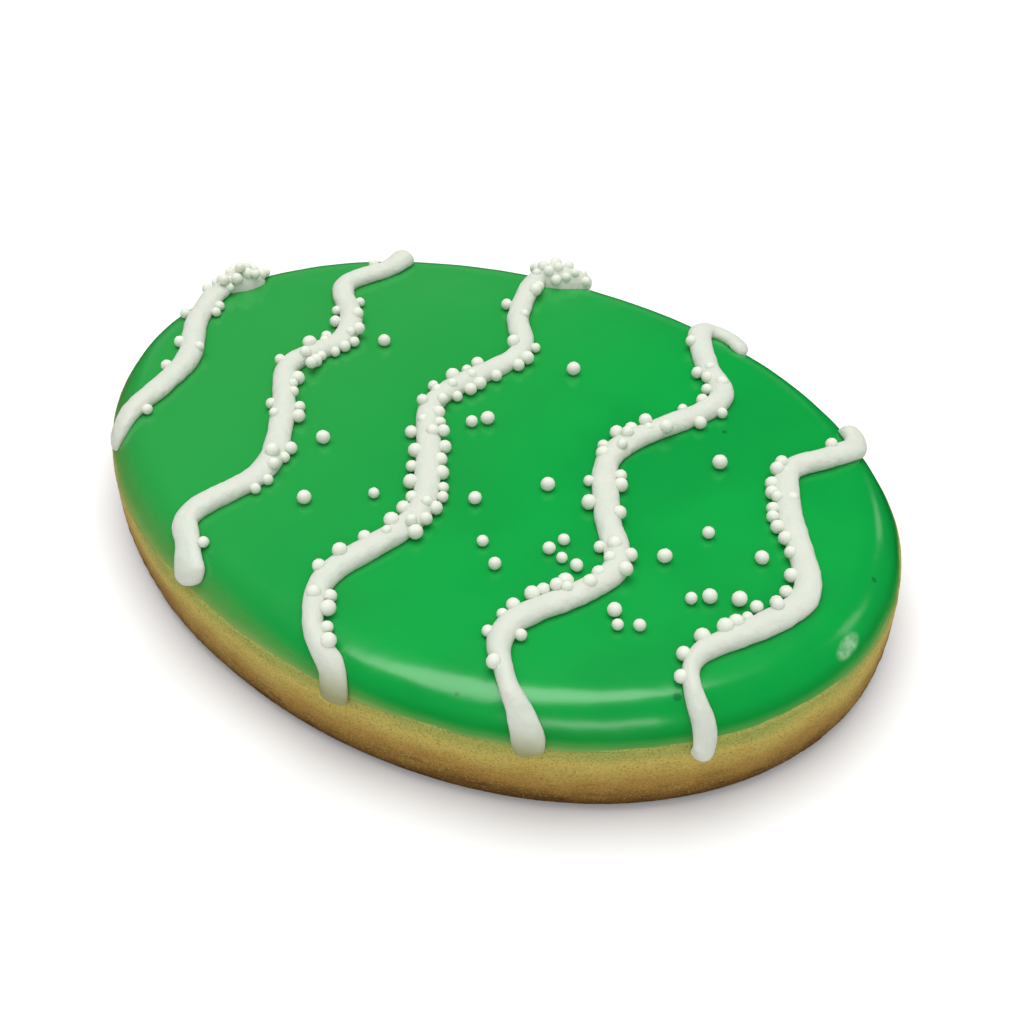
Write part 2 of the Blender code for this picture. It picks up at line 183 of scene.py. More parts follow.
def stains(tree, place, grain, detail=3, stretch=(1, 1, 1)):
    """A noise from 0 to 1, with patches of about one grain, in metres."""
    scale = tuple(1 / (grain * share) for share in stretch)
    moved = node(tree, "Mapping", {"Vector": place, "Scale": scale}).outputs[0]
    made = node(tree, "TexNoise", {"Vector": moved, "Scale": 1.0, "Detail": detail})
    return made.outputs[0]


def ramp(tree, value, start, end, low=0.0, high=1.0):
    """Maps a value from start to end smoothly onto low to high."""
    ends = {"Value": value, "From Min": start, "From Max": end, "To Min": low, "To Max": high}
    return node(tree, "MapRange", ends, interpolation_type="SMOOTHSTEP").outputs[0]


def sums(tree, operation, first, second):
    return node(tree, "Math", {0: first, 1: second}, operation=operation).outputs[0]


def tint(tree, share, first, second):
    """Mixes two colours."""
    return node(tree, "Mix", {0: share, 6: first, 7: second}, data_type="RGBA").outputs[2]


def bump(tree, height, depth, below=None):
    inputs = {"Height": height, "Distance": depth, "Strength": 1.0}
    if below:
        inputs["Normal"] = below
    return node(tree, "Bump", inputs).outputs[0]


def new_finish(name, roughness, specular):
    """A material, its tree, its shader and the place on the piece."""
    material = bpy.data.materials.new(name)
    material.use_nodes = True
    tree = material.node_tree
    shader = tree.nodes["Principled BSDF"]
    shader.inputs["Roughness"].default_value = roughness
    shader.inputs["Specular IOR Level"].default_value = specular
    place = node(tree, "TexCoord").outputs["Object"]
    return material, tree, shader, place


biscuit = cut_egg("baked_biscuit", BISCUIT_POINTS, 0, WIDEST_LOW)
for _ in range(round((WIDEST_HIGH - WIDEST_LOW) / SIDE_STEP)):
    bpy.ops.mesh.extrude_region_move(TRANSFORM_OT_translate={"value": (0, 0, SIDE_STEP)})
for width, rise in SHOULDER_STEPS:
    bpy.ops.mesh.inset(thickness=width * MM, depth=rise * MM)
bpy.ops.mesh.poke()
bpy.ops.mesh.select_all(action="SELECT")
bpy.ops.mesh.normals_make_consistent(inside=False)
select_faces(biscuit, lambda middle, normal: normal.z < -0.9)
for width, rise in FOOT_STEPS:
    bpy.ops.mesh.inset(thickness=width * MM, depth=rise * MM)
for _ in range(BASE_RINGS):
    bpy.ops.mesh.inset(thickness=BASE_RING, depth=0)
bpy.ops.object.mode_set(mode="OBJECT")
weigh(biscuit, "bow", lambda at: (at.z - FLAT_FOOT) / (0.5 * MM))
weigh(biscuit, "crumb", lambda at: min(at.z - FLAT_FOOT, CRUMB_TOP - at.z) / MM)
roughen(biscuit, "bow", 14 * MM, 0.30 * MM, "bow")
roughen(biscuit, "crumb", 1.3 * MM, 0.20 * MM, "crumb")
roughen(biscuit, "grain", 0.5 * MM, 0.13 * MM, "crumb", depth=1)
bpy.ops.object.shade_smooth()

material, tree, shader, place = new_finish("baked dough", 0.85, 0.12)
patches = stains(tree, place, PATCHES, 3, (2.0, 2.0, 1.0))
height = node(tree, "SeparateXYZ", {0: place}).outputs["Z"]
waves = sums(tree, "MULTIPLY", sums(tree, "SUBTRACT", patches, 0.5), WAVE_HEIGHT)
wavy = sums(tree, "ADD", height, waves)
# painted shade: the darkest colour at the very foot stands for the contact shade where the side
# meets the floor, on top of the real browning
colour = tint(tree, ramp(tree, wavy, -0.4 * MM, 2.0 * MM), DARK_CRUST_AND_SHADE, BROWN)
colour = tint(tree, ramp(tree, wavy, 1.0 * MM, 4.4 * MM), colour, GOLD)
colour = tint(tree, ramp(tree, wavy, 3.8 * MM, 7.6 * MM), colour, TAN)
colour = tint(tree, ramp(tree, wavy, 6.8 * MM, 9.0 * MM), colour, STAINED)
streaks = stains(tree, place, 1.0 * MM, 4, (3.0, 3.0, 0.6))
low_down = ramp(tree, height, 5.0 * MM, 1.0 * MM, 0.1, 0.8)
# painted shade: the cracks are darkened in colour as if shaded inside, more so low down
crack_shade = sums(tree, "MULTIPLY", ramp(tree, streaks, 0.56, 0.68), low_down)
colour = tint(tree, crack_shade, colour, DARK_CRUST_AND_SHADE)
specks = stains(tree, place, GRAIN, 3)
colour = tint(tree, ramp(tree, specks, 0.50, 0.72, 0, 0.25), colour, PALE_GRAIN)
colour = tint(tree, ramp(tree, specks, 0.50, 0.32, 0, 0.42), colour, DARK_GRAIN)
tree.links.new(colour, shader.inputs["Base Color"])
rough_side = bump(tree, specks, GRAIN_DEPTH, bump(tree, streaks, CRACK_DEPTH))
tree.links.new(rough_side, shader.inputs["Normal"])
biscuit.data.materials.append(material)
set_down(biscuit, "baked_biscuit", "biscuit")

# The green icing was poured on thin and ran out to the edge, where it set with a rounded
# shoulder and a soft gloss. To the narrow end its edge is a film that fades into the
# dough; at the blunt end it stops in a clean line.
ICING_POINTS = 600
ICING_EDGE = 8.9 * MM
ICING_INSET = 0.2 * MM
ICING_RISE = 3.9 * MM
ICING_SHOULDER = 5.3 * MM
ICING_POWER = 2.6
ICING_DOME = 0.4 * MM
ICING_THICKNESS = 1.2 * MM
SHOULDER_RINGS = [0.04, 0.1, 0.2, 0.33, 0.5, 0.7, 0.93, 1.2, 1.5, 1.85, 2.25, 2.7, 3.2, 3.7,
                  4.3, 4.9, 5.3, 6.0, 7.0, 8.2, 9.6, 11.2]
TOP_RINGS = 14
EDGE_WALL = 0.12
THICK_FILM = 2.7 * MM
THIN_FILM = 0.9 * MM
GLOSS = 0.22
DULL_EDGE = 0.50
GREEN = (0.001, 0.340, 0.050, 1)
DEEP_GREEN = (0.001, 0.300, 0.046, 1)
SHEEN_GREEN = (0.022, 0.320, 0.058, 1)
SHADED_GREEN = (0.001, 0.260, 0.032, 1)
THIN_GREEN = (0.085, 0.31, 0.055, 1)
FILM = (0.26, 0.35, 0.080, 1)
SHADE_AND_SPECK_GREEN = (0.003, 0.10, 0.020, 1)
# Dark marks with no relief, each a middle and a size in millimetres: the first, second and last
# are painted shade standing for a shallow dent, a small pit and a nick; the third is a dark
# speck.
PIT_SHADES_AND_SPECK = [((38.5, -20.1, 12.5), 0.55), ((21.2, -31.9, 12.0), 0.30), ((22.3, 17.0, 13.0), 0.40),
          ((46.6, 5.8, 12.2), 0.45)]
SMEAR = (0.42, 0.62, 0.42, 1)
SMEAR_PLACE = (48.2, -3.2, 11.0)
SMEAR_SIZE = (1.1, 2.3, 1.2)


def dome(x, y):
    return ICING_DOME * max(0.0, 1 - (x / HALF_LENGTH) ** 2 - (y / HALF_WIDTH) ** 2)


def shoulder(reach):
    """How high the icing stands over its edge, at a distance in from it."""
    share = min(1.0, max(0.0, reach / ICING_SHOULDER))
    return ICING_RISE * (1 - (1 - share) ** ICING_POWER)


def mark(tree, place, at, size):
    """How much of a small soft mark is at each place: 1 in its middle, 0 outside it."""
    middle = [value * MM for value in (Vector(at) + MIDDLE / MM)]
    apart = node(tree, "VectorMath", {0: place, 1: middle}, operation="SUBTRACT").outputs[0]
    scaled = node(tree, "VectorMath", {0: apart, 1: [1 / (value * MM) for value in size]},
                  operation="MULTIPLY").outputs[0]
    far = node(tree, "VectorMath", {0: scaled}, operation="LENGTH").outputs["Value"]
    return ramp(tree, far, 1.0, 0.5)


icing = cut_egg("poured_icing", ICING_POINTS, ICING_INSET, ICING_EDGE)
reached = 0.0
for ring in SHOULDER_RINGS:
    rise = shoulder(ring * MM) - shoulder(reached)
    bpy.ops.mesh.inset(thickness=ring * MM - reached, depth=rise)
    reached = ring * MM
for ring in range(TOP_RINGS, 0, -1):
    bpy.ops.mesh.extrude_region_move()
    shrink = ring / (ring + 1)
    bpy.ops.transform.resize(value=(shrink, shrink, 1), center_override=(0, 0, 0))
bpy.ops.mesh.poke()
bpy.ops.mesh.select_all(action="SELECT")
bpy.ops.mesh.normals_make_consistent(inside=False)
bpy.ops.object.mode_set(mode="OBJECT")
for vertex in icing.data.vertices:
    vertex.co.z += dome(vertex.co.x, vertex.co.y)
weigh(icing, "rim", lambda at: 1 - (at.z - ICING_EDGE) / (1.6 * MM))
weigh(icing, "poured", lambda at: (at.z - ICING_EDGE) / (1.5 * MM))
roughen(icing, "ebb", 7 * MM, 0.7 * MM, "rim", "Z")
roughen(icing, "sway", 11 * MM, 0.22 * MM, "poured")
wall = icing.modifiers.new("wall", "SOLIDIFY")
wall.thickness = ICING_THICKNESS
wall.offset = -1
wall.vertex_group = "poured"
wall.thickness_vertex_group = EDGE_WALL
bpy.ops.object.modifier_apply(modifier="wall")
bpy.ops.object.shade_smooth()

material, tree, shader, place = new_finish("poured green icing", GLOSS, 0.42)
split = node(tree, "SeparateXYZ", {0: place})
clouds = stains(tree, place, 16 * MM, 2)
colour = tint(tree, ramp(tree, clouds, 0.35, 0.65), DEEP_GREEN, GREEN)
# painted sheen: the green is paler toward the narrow end, standing for the soft reflection seen
# there
narrow_end_sheen = ramp(tree, split.outputs["X"], 18 * MM, -32 * MM)
colour = tint(tree, narrow_end_sheen, colour, SHEEN_GREEN)
above_edge = sums(tree, "SUBTRACT", split.outputs["Z"], ICING_EDGE)
# painted shade: just above its edge, toward the blunt end, the shoulder is darker green, as
# where it turns away from the light
low = sums(tree, "MULTIPLY", ramp(tree, above_edge, 2.4 * MM, 1.0 * MM),
           ramp(tree, split.outputs["X"], -5 * MM, 25 * MM))
colour = tint(tree, low, colour, SHADED_GREEN)
film = ramp(tree, split.outputs["X"], -14 * MM, 20 * MM, THICK_FILM, THIN_FILM)
ragged = sums(tree, "MULTIPLY", sums(tree, "SUBTRACT", stains(tree, place, 2.5 * MM), 0.5), 0.2)
covered = sums(tree, "ADD", sums(tree, "DIVIDE", above_edge, film), ragged)
colour = tint(tree, ramp(tree, covered, 0.2, 1.35), THIN_GREEN, colour)
colour = tint(tree, ramp(tree, covered, -0.15, 0.55), FILM, colour)
# painted shade for a dent, a pit and a nick, and one dark speck, mixed into the green
for at, size in PIT_SHADES_AND_SPECK:
    shade_and_speck = ramp(tree, mark(tree, place, at, (size, size, size)), 0, 1, 0, 0.6)
    colour = tint(tree, shade_and_speck, colour, SHADE_AND_SPECK_GREEN)
dried = mark(tree, place, SMEAR_PLACE, SMEAR_SIZE)
broken = ramp(tree, stains(tree, place, 0.9 * MM, 3), 0.30, 0.68, 0.20, 0.70)
dried = sums(tree, "MULTIPLY", dried, broken)
colour = tint(tree, dried, colour, SMEAR)
tree.links.new(colour, shader.inputs["Base Color"])
tree.links.new(ramp(tree, covered, 0.0, 1.2, DULL_EDGE, GLOSS), shader.inputs["Roughness"])
skin = bump(tree, stains(tree, place, 5 * MM, 2), 0.10 * MM)
skin = bump(tree, stains(tree, place, 0.5 * MM, 2), 0.006 * MM, skin)
tree.links.new(skin, shader.inputs["Normal"])
icing.data.materials.append(material)
set_down(icing, "green_icing", "green_icing")

# Five zigzags of stiffer white icing were piped across the egg with a small round nozzle.
# Each bead of icing is round on top and clings to the green by a flat sole; its ends
# hang over the shoulder, some pressed broad and thin as the nozzle was pulled away.
LINE_WIDTH = 3.0 * MM
LINE_HEIGHT = 1.6 * MM
LINE_POINTS = 12
LINE_TIP = 1.4 * MM
LINE_FLARE = 5.0 * MM
NECK_SHARE = 0.6
LINE_STEP = 0.85 * MM
LINE_SINK = 0.12 * MM
WIDTH_WAVER = 0.10
HEIGHT_WAVER = 0.12
FLAT_SOLE = 0.36
TIP_SHARES = (0.02, 0.25, 0.6)
CURVE_STEPS = 24
MOUND_SKIRT = -0.35
THINNEST = 0.9
WHITES = [(0.60, 0.64, 0.555, 1), (0.66, 0.69, 0.60, 1)]
THIN_WHITE = (0.28, 0.28, 0.10, 1)
SEARCH_STEPS = 360
LEFT, ON_TOP, RIGHT = -1, 0, 1
EDGE_SAMPLES = [outline(math.tau * step / SEARCH_STEPS) for step in range(SEARCH_STEPS)]

# Each line from its +Y end to its -Y end, in millimetres on plan. An end's shape is its
# width and height and its neck's width, against the line's, and how far off the neck is.
# A mound is its middle, its heading in degrees from +X, half its length and width, its
# height, and how many beads it holds. Some near ends thin out from one height down to
# another, till the dough shows through. The other beads lie in runs: start and end as
# shares of its length, the side seen from above with +X to the right, and how many.
LINES = [
    {
        "seed": 40,
        "turns": [(-43.9, 8.2), (-46.3, 5.2), (-43.5, -3.0), (-38.0, -10.0), (-36.3, -17.0),
                  (-35.8, -21.5), (-35.7, -24.8)],
        "far_end": (1.1, 1.25, 1.1, 5.0),
        "near_end": (1.25, 0.6, 1.0, 5.0),
        "mound": (-45.4, 6.1, 52, 3.5, 1.7, 2.2, 17),
        "beads": [(0.13, 0.22, ON_TOP, 2), (0.05, 0.12, RIGHT, 1), (0.24, 0.33, RIGHT, 2),
                  (0.31, 0.34, LEFT, 1), (0.48, 0.52, LEFT, 1), (0.54, 0.56, RIGHT, 1),
                  (0.65, 0.67, LEFT, 1), (0.85, 0.89, RIGHT, 1)],
    },
    {
        "seed": 26,
        "turns": [(-31.5, 24.6), (-31.5, 20.5), (-33.4, 14.8), (-32.0, 11.9), (-27.5, 8.4),
                  (-25.3, 3.5), (-26.6, -4.2), (-20.5, -11.6), (-15.5, -20.0), (-16.9, -29.6),
                  (-14.6, -32.3), (-11.4, -35.2)],
        "far_end": (1.2, 1.3, 1.0, 5.0),
        "near_end": (1.75, 1.15, 1.0, 6.0),
        "beads": [(0.07, 0.09, LEFT, 1), (0.22, 0.24, RIGHT, 1), (0.21, 0.48, LEFT, 5),
                  (0.25, 0.45, ON_TOP, 4), (0.31, 0.45, RIGHT, 7), (0.49, 0.62, RIGHT, 5),
                  (0.56, 0.58, LEFT, 1), (0.57, 0.76, ON_TOP, 2), (0.68, 0.80, RIGHT, 5),
                  (0.94, 0.96, RIGHT, 1)],
    },
    {
        "seed": 94,
        "turns": [(-7.8, 33.5), (-11.2, 33.9), (-13.8, 30.0), (-10.5, 21.3), (-5.6, 14.5),
                  (-7.9, 1.2), (-2.0, -7.4), (3.2, -16.0), (1.5, -28.0), (4.6, -33.7),
                  (9.0, -35.8), (10.1, -38.1)],
        "far_end": (0.8, 1.2, 1.0, 5.0),
        "near_end": (1.35, 0.5, 0.78, 8.0),
        "thins": (12.0, 9.2),
        "mound": (-11.7, 32.2, 31, 4.2, 1.9, 2.5, 17),
        "beads": [(0.12, 0.15, RIGHT, 2), (0.16, 0.19, LEFT, 1),
                  (0.20, 0.22, ON_TOP, 1), (0.27, 0.34, RIGHT, 3), (0.28, 0.30, LEFT, 1),
                  (0.35, 0.45, LEFT, 4), (0.35, 0.47, RIGHT, 5), (0.38, 0.55, ON_TOP, 6),
                  (0.48, 0.60, RIGHT, 5), (0.52, 0.78, LEFT, 8), (0.61, 0.73, RIGHT, 6),
                  (0.66, 0.76, ON_TOP, 3), (0.77, 0.90, ON_TOP, 2), (0.82, 0.85, LEFT, 1),
                  (0.86, 0.96, RIGHT, 4)],
    },
    {
        "seed": 39,
        "turns": [(16.2, 32.2), (12.9, 34.4), (10.1, 33.7), (10.6, 31.0), (14.5, 26.3),
                  (19.2, 20.6), (14.4, 6.0), (19.4, -3.3), (24.9, -10.7), (20.7, -22.8),
                  (24.0, -28.0), (28.0, -30.2), (29.9, -31.6)],
        "far_end": (0.8, 0.8, 1.0, 5.0),
        "near_end": (1.35, 0.5, 0.66, 6.5),
        "thins": (11.5, 8.8),
        "beads": [(0.12, 0.15, LEFT, 1), (0.19, 0.25, LEFT, 3), (0.19, 0.25, ON_TOP, 2),
                  (0.27, 0.35, LEFT, 2), (0.28, 0.34, RIGHT, 2), (0.36, 0.49, ON_TOP, 5),
                  (0.38, 0.47, LEFT, 4), (0.50, 0.55, RIGHT, 2), (0.51, 0.59, LEFT, 2),
                  (0.58, 0.61, RIGHT, 1), (0.63, 0.66, LEFT, 1), (0.64, 0.77, ON_TOP, 5),
                  (0.65, 0.70, RIGHT, 2), (0.70, 0.79, LEFT, 6), (0.79, 0.87, LEFT, 4),
                  (0.84, 0.87, RIGHT, 1), (0.90, 0.92, LEFT, 1)],
    },
    {
        "seed": 49,
        "turns": [(32.6, 26.4), (34.7, 25.0), (35.6, 22.6), (34.3, 19.4), (31.9, 14.5),
                  (35.3, 8.2), (42.0, -0.5), (41.5, -6.5), (37.8, -14.8), (39.2, -18.7),
                  (41.8, -20.2), (42.4, -21.4), (42.2, -22.4)],
        "far_end": (1.05, 1.2, 1.0, 5.0),
        "near_end": (0.95, 0.7, 0.6, 7.0),
        "beads": [(0.12, 0.15, LEFT, 1), (0.23, 0.42, LEFT, 8), (0.33, 0.34, ON_TOP, 1),
                  (0.43, 0.50, LEFT, 2), (0.53, 0.55, LEFT, 1), (0.58, 0.66, LEFT, 2),
                  (0.65, 0.67, ON_TOP, 1), (0.66, 0.78, LEFT, 5), (0.79, 0.86, LEFT, 2),
                  (0.88, 0.90, LEFT, 1)],
    },
]


def edge_distance(x, y):
    """How far a point lies inside the outline, and the outward normal nearest to it."""
    spot = Vector((x, y))
    point, outward = min(EDGE_SAMPLES, key=lambda sample: (sample[0] - spot).length_squared)
    return (point - spot).dot(outward), outward


def icing_height(x, y):
    inside, _ = edge_distance(x, y)
    return ICING_EDGE + shoulder(inside - ICING_INSET) + dome(x, y)


def lay(x, y, lift):
    """A point that lies lift off the icing, and the surface's normal there."""
    inside, outward = edge_distance(x, y)
    over = ICING_INSET - inside
    if over > 0:
        foot = Vector((x, y)) - outward * max(0.0, over - ICING_INSET)
        spot = Vector((foot.x, foot.y, ICING_EDGE - over))
        normal = outward.to_3d()
    else:
        reach = 0.1 * MM
        spot = Vector((x, y, icing_height(x, y)))
        normal = Vector((icing_height(x - reach, y) - icing_height(x + reach, y),
                         icing_height(x, y - reach) - icing_height(x, y + reach),
                         2 * reach)).normalized()
    return spot + normal * lift, normal


def smooth_path(turns):
    """Close points along a curve through the turns, with the length run to each."""
    knots = [Vector(turn) * MM for turn in turns]
    knots = [2 * knots[0] - knots[1]] + knots + [2 * knots[-1] - knots[-2]]
    points = []
    for before, start, end, after in zip(knots, knots[1:], knots[2:], knots[3:]):
        for step in range(CURVE_STEPS):
            share = step / CURVE_STEPS
            bend = 2 * before - 5 * start + 4 * end - after
            twist = 3 * start - before - 3 * end + after
            points.append((2 * start + (end - before) * share + bend * share ** 2
                           + twist * share ** 3) / 2)
    points.append(knots[-2])
    run = [0.0]
    for first, second in zip(points, points[1:]):
        run.append(run[-1] + (second - first).length)
    return points, run


def at_length(points, run, length):
    """The point and the direction at a length along a path."""
    last = len(run) - 2
    index = next((step for step in range(last) if run[step + 1] >= length), last)
    share = (length - run[index]) / (run[index + 1] - run[index])
    step = points[index + 1] - points[index]
    return points[index] + step * share, step.normalized()


def end_scale(length, total, far_end, near_end):
    """Width and height of the section against the line's, at a length along it."""
    width, height = 1.0, 1.0
    for distance, end in ((length, far_end), (total - length, near_end)):
        end_width, end_height, neck, reach = end
        flare = max(0.0, 1 - distance / LINE_FLARE) ** 1.5
        width += (end_width - 1) * flare
        height += (end_height - 1) * flare
        width += (neck - 1) * math.exp(-((distance / (reach * MM) - 1) / NECK_SHARE) ** 2)
        if distance < LINE_TIP:
            tip = math.sqrt(max(0.1, 1 - (1 - distance / LINE_TIP) ** 2))
            width *= tip
            height *= tip
    return width, height


def line_frame(points, run, length, lift):
    """On plan and in space: a point of the line, with the way to its right and up."""
    point, direction = at_length(points, run, length)
    base, normal = lay(point.x, point.y, lift)
    ahead, _ = lay(point.x + direction.x * MM / 2, point.y + direction.y * MM / 2, lift)
    return point, base, normal.cross(ahead - base).normalized(), normal


def mound_frame(mound, lift):
    """The matrix that takes a ball of radius 1 to a mound's place and size."""
    x, y, degrees, half_length, half_width, height, _ = mound
    base, normal = lay(x * MM, y * MM, lift)
    along = Vector((math.cos(math.radians(degrees)), math.sin(math.radians(degrees)), 0))
    across = normal.cross(along).normalized()
    columns = (across.cross(normal) * half_length, across * half_width, normal * height)
    return Matrix.Translation(base) @ (Matrix(columns).transposed() * MM).to_4x4()


def nozzle(line, points, run, length):
    """The matrix that takes the section, one wide and one high, to its place."""
    _, base, right, normal = line_frame(points, run, length, -LINE_SINK)
    width, height = end_scale(length, run[-1], line["far_end"], line["near_end"])
    width *= 1 + WIDTH_WAVER * noise.noise(Vector((length / (4 * MM), line["seed"], 0.3)))
    height *= 1 + HEIGHT_WAVER * noise.noise(Vector((length / (5 * MM), line["seed"], 7.3)))
    across = right * width * LINE_WIDTH / 2
    upward = normal * height * (LINE_HEIGHT + LINE_SINK)
    along = normal.cross(right) * MM
    columns = Matrix((across, along, upward)).transposed().to_4x4()
    return Matrix.Translation(base) @ columns


def pipe_line(number, line):
    """A line swept along its path, softened, with its heap if it has one."""
    points, run = smooth_path(line["turns"])
    total = run[-1]
    count = round((total - 2 * LINE_TIP) / LINE_STEP)
    tip = [LINE_TIP * share for share in TIP_SHARES]
    straight = [LINE_TIP + (total - 2 * LINE_TIP) * step / count for step in range(count + 1)]
    lengths = tip + straight + [total - length for length in reversed(tip)]
    bpy.ops.object.select_all(action="DESELECT")
    bpy.ops.mesh.primitive_circle_add(vertices=LINE_POINTS, radius=1, fill_type="NGON",
                                      rotation=(math.pi / 2, 0, 0))
    bpy.ops.object.transform_apply(location=True, rotation=True, scale=True)
    thing = bpy.context.object
    thing.name = "piped_icing_%d" % number
    for vertex in thing.data.vertices:
        vertex.co.z = max(0.0, FLAT_SOLE + (1 - FLAT_SOLE) * vertex.co.z)
    placed = nozzle(line, points, run, lengths[0])
    thing.data.transform(placed)
    bpy.ops.object.mode_set(mode="EDIT")
    bpy.ops.mesh.select_all(action="SELECT")
    for length in lengths[1:]:
        bpy.ops.mesh.extrude_region_move()
        following = nozzle(line, points, run, length)
        mesh = bmesh.from_edit_mesh(thing.data)
        section = [vertex for vertex in mesh.verts if vertex.select]
        bmesh.ops.transform(mesh, matrix=following @ placed.inverted(), verts=section)
        bmesh.update_edit_mesh(thing.data)
        placed = following
    bpy.ops.mesh.select_all(action="SELECT")
    bpy.ops.mesh.normals_make_consistent(inside=False)
    bpy.ops.object.mode_set(mode="OBJECT")
    softened = thing.modifiers.new("softened", "SUBSURF")
    softened.levels = 2
    softened.render_levels = 2
    bpy.ops.object.modifier_apply(modifier="softened")
    if "mound" in line:
        bpy.ops.mesh.primitive_ico_sphere_add(subdivisions=4, radius=1)
        swelling = bpy.context.object
        for vertex in swelling.data.vertices:
            vertex.co.z = max(MOUND_SKIRT, vertex.co.z)
        swelling.data.transform(mound_frame(line["mound"], 0))
        thing.select_set(True)
        bpy.context.view_layer.objects.active = thing
        bpy.ops.object.join()
    roughen(thing, "lumps", 1.8 * MM, 0.22 * MM, "")
    bpy.ops.object.shade_smooth()
    thin = thing.data.attributes.new("thin", "FLOAT", "POINT")
    start, end = line.get("thins", (0, -1))
    for vertex in thing.data.vertices:
        if vertex.co.y < 0:
            share = (start - vertex.co.z / MM) / (start - end)
            thin.data[vertex.index].value = THINNEST * min(1.0, max(0.0, share))
    return thing


material, tree, shader, place = new_finish("piped white icing", 0.5, 0.35)
shader.inputs["Subsurface Weight"].default_value = 0.15
shader.inputs["Subsurface Scale"].default_value = 0.6 * MM
colour = tint(tree, stains(tree, place, 3 * MM), *WHITES)
thin = node(tree, "Attribute", attribute_name="thin").outputs["Fac"]
colour = tint(tree, thin, colour, THIN_WHITE)
tree.links.new(colour, shader.inputs["Base Color"])
sugary = bump(tree, stains(tree, place, 0.35 * MM, 3), 0.02 * MM)
sugary = bump(tree, stains(tree, place, 1.1 * MM, 2), 0.16 * MM, sugary)
tree.links.new(sugary, shader.inputs["Normal"])
for number, line in enumerate(LINES, start=1):
    piped = pipe_line(number, line)
    piped.data.materials.append(material)
    set_down(piped, "white_icing", "piped_line_%d" % number)

# White sugar beads were strewn on while the lines were soft. Most stuck to the lines, at
# their sides or sunk in their tops, finer ones in heaps at two far ends, and a few rolled
# off and dried on to the green by themselves.
BEAD_RADIUS = (0.62 * MM, 0.88 * MM)
FINE_RADIUS = (0.60 * MM, 0.80 * MM)
BEAD_BITE = 0.8
BEAD_LEAN = (-0.6, 0.6)
BEAD_SEAT = 0.35
BEAD_RISE = (0.65, 1.05)
BEAD_SPREAD = 0.6
BEAD_NUDGE = 0.05 * MM
BEAD_REST = 0.95
LONE_SEED = 5
LONE_SEAT = 0.85
LONE_SPACING = 1.9 * MM
LONE_CLEARANCE = 0.6 * MM
MOUND_FOOT = 0.2
SPIRAL_TURN = 2.4
SQUASH = (0.95, 1.05)
BEAD_WHITES = [(0.72, 0.755, 0.65, 1), (0.78, 0.81, 0.71, 1)]

# The first of each group in millimetres on plan, how many lie together, and the heading
# of the rest in degrees from +X
LONE_BEADS = [
    (-20.7, 6.9, 1, 0), (-13.8, -12.0, 1, 0), (-8.5, -20.9, 1, 0), (-2.9, -15.8, 1, 0),
    (1.8, 15.9, 1, 0), (-0.7, 1.9, 2, -110), (6.6, -10.0, 1, 0), (11.3, -14.8, 1, 0),
    (14.4, -16.8, 1, 0), (11.7, -3.5, 1, 0), (28.0, -5.5, 1, 0), (28.0, -15.0, 2, -30),
    (31.1, -15.2, 1, 0), (25.0, 11.1, 1, 0), (29.8, 0.4, 1, 0), (36.2, 0.4, 1, 0),
    (33.3, -9.0, 2, 22), (37.3, -6.3, 2, 14), (18.1, -9.6, 1, 0), (17.6, -11.6, 3, -15),
]


def settle(spot, radius, placed, push):
    """Moves a bead along push until it no longer sinks into those placed before it."""
    centre = spot.copy()
    while any((centre - other).length < BEAD_BITE * (radius + size) for other, size in placed):
        centre += push * BEAD_NUDGE
    return centre


def beads_of_line(line, lone):
    """Centres and radii of the beads that touch a line."""
    draw = random.Random(line["seed"])
    points, run = smooth_path(line["turns"])
    placed = beads_of_mound(line["mound"], 0, draw) if "mound" in line else []
    for start, end, side, count in line["beads"]:
        for index in range(count):
            length = run[-1] * (start + (end - start) * (index + draw.uniform(0.3, 0.7)) / count)
            point, _, right, _ = line_frame(points, run, length, 0)
            radius = draw.uniform(*BEAD_RADIUS)
            width, height = end_scale(length, run[-1], line["far_end"], line["near_end"])
            half = width * LINE_WIDTH / 2
            if side in (LEFT, RIGHT):
                lean = (draw.uniform(*BEAD_LEAN) + min(0.0, height - 1)) * radius
                offset = right * side * (half + lean)
                flank = math.sqrt(max(0.0, 1 - (1 + lean / half) ** 2)) * height * LINE_HEIGHT
                lift = max(BEAD_REST * radius, flank + BEAD_SEAT * radius)
            else:
                offset = right * draw.uniform(-BEAD_SPREAD, BEAD_SPREAD) * half
                lift = draw.uniform(*BEAD_RISE) * height * LINE_HEIGHT
            spot, normal = lay(point.x + offset.x, point.y + offset.y, lift)
            push = offset.normalized() if side in (LEFT, RIGHT) else normal
            centre = settle(spot, radius, placed, push)
            gaps = [(centre - other).length - radius - size for other, size in lone]
            if all(gap > LONE_CLEARANCE for gap in gaps):
                placed.append((centre, radius))
    return placed


def beads_of_mound(mound, lift, draw):
    """Centres and radii of the beads in a mound, from its top down in a spiral."""
    frame = mound_frame(mound, lift)
    placed = []
    for index in range(mound[-1]):
        rise = 1 - (1 - MOUND_FOOT) * (index + 0.5) / mound[-1]
        turn = SPIRAL_TURN * index + draw.uniform(-0.3, 0.3)
        spread = math.sqrt(1 - rise ** 2)
        spot = frame @ Vector((spread * math.cos(turn), spread * math.sin(turn), rise))
        radius = draw.uniform(*FINE_RADIUS)
        push = (spot - frame.translation).normalized()
        placed.append((settle(spot, radius, placed, push), radius))
    return placed


def lone_beads():
    """Centres and radii of the beads that lie on the green icing by themselves."""
    draw = random.Random(LONE_SEED)
    placed = []
    for x, y, count, degrees in LONE_BEADS:
        spot = Vector((x, y)) * MM
        heading = math.radians(degrees)
        for _ in range(count):
            radius = draw.uniform(*BEAD_RADIUS)
            placed.append((lay(spot.x, spot.y, LONE_SEAT * radius)[0], radius))
            heading += draw.uniform(-0.4, 0.4)
            spot += Vector((math.cos(heading), math.sin(heading))) * LONE_SPACING
    return placed


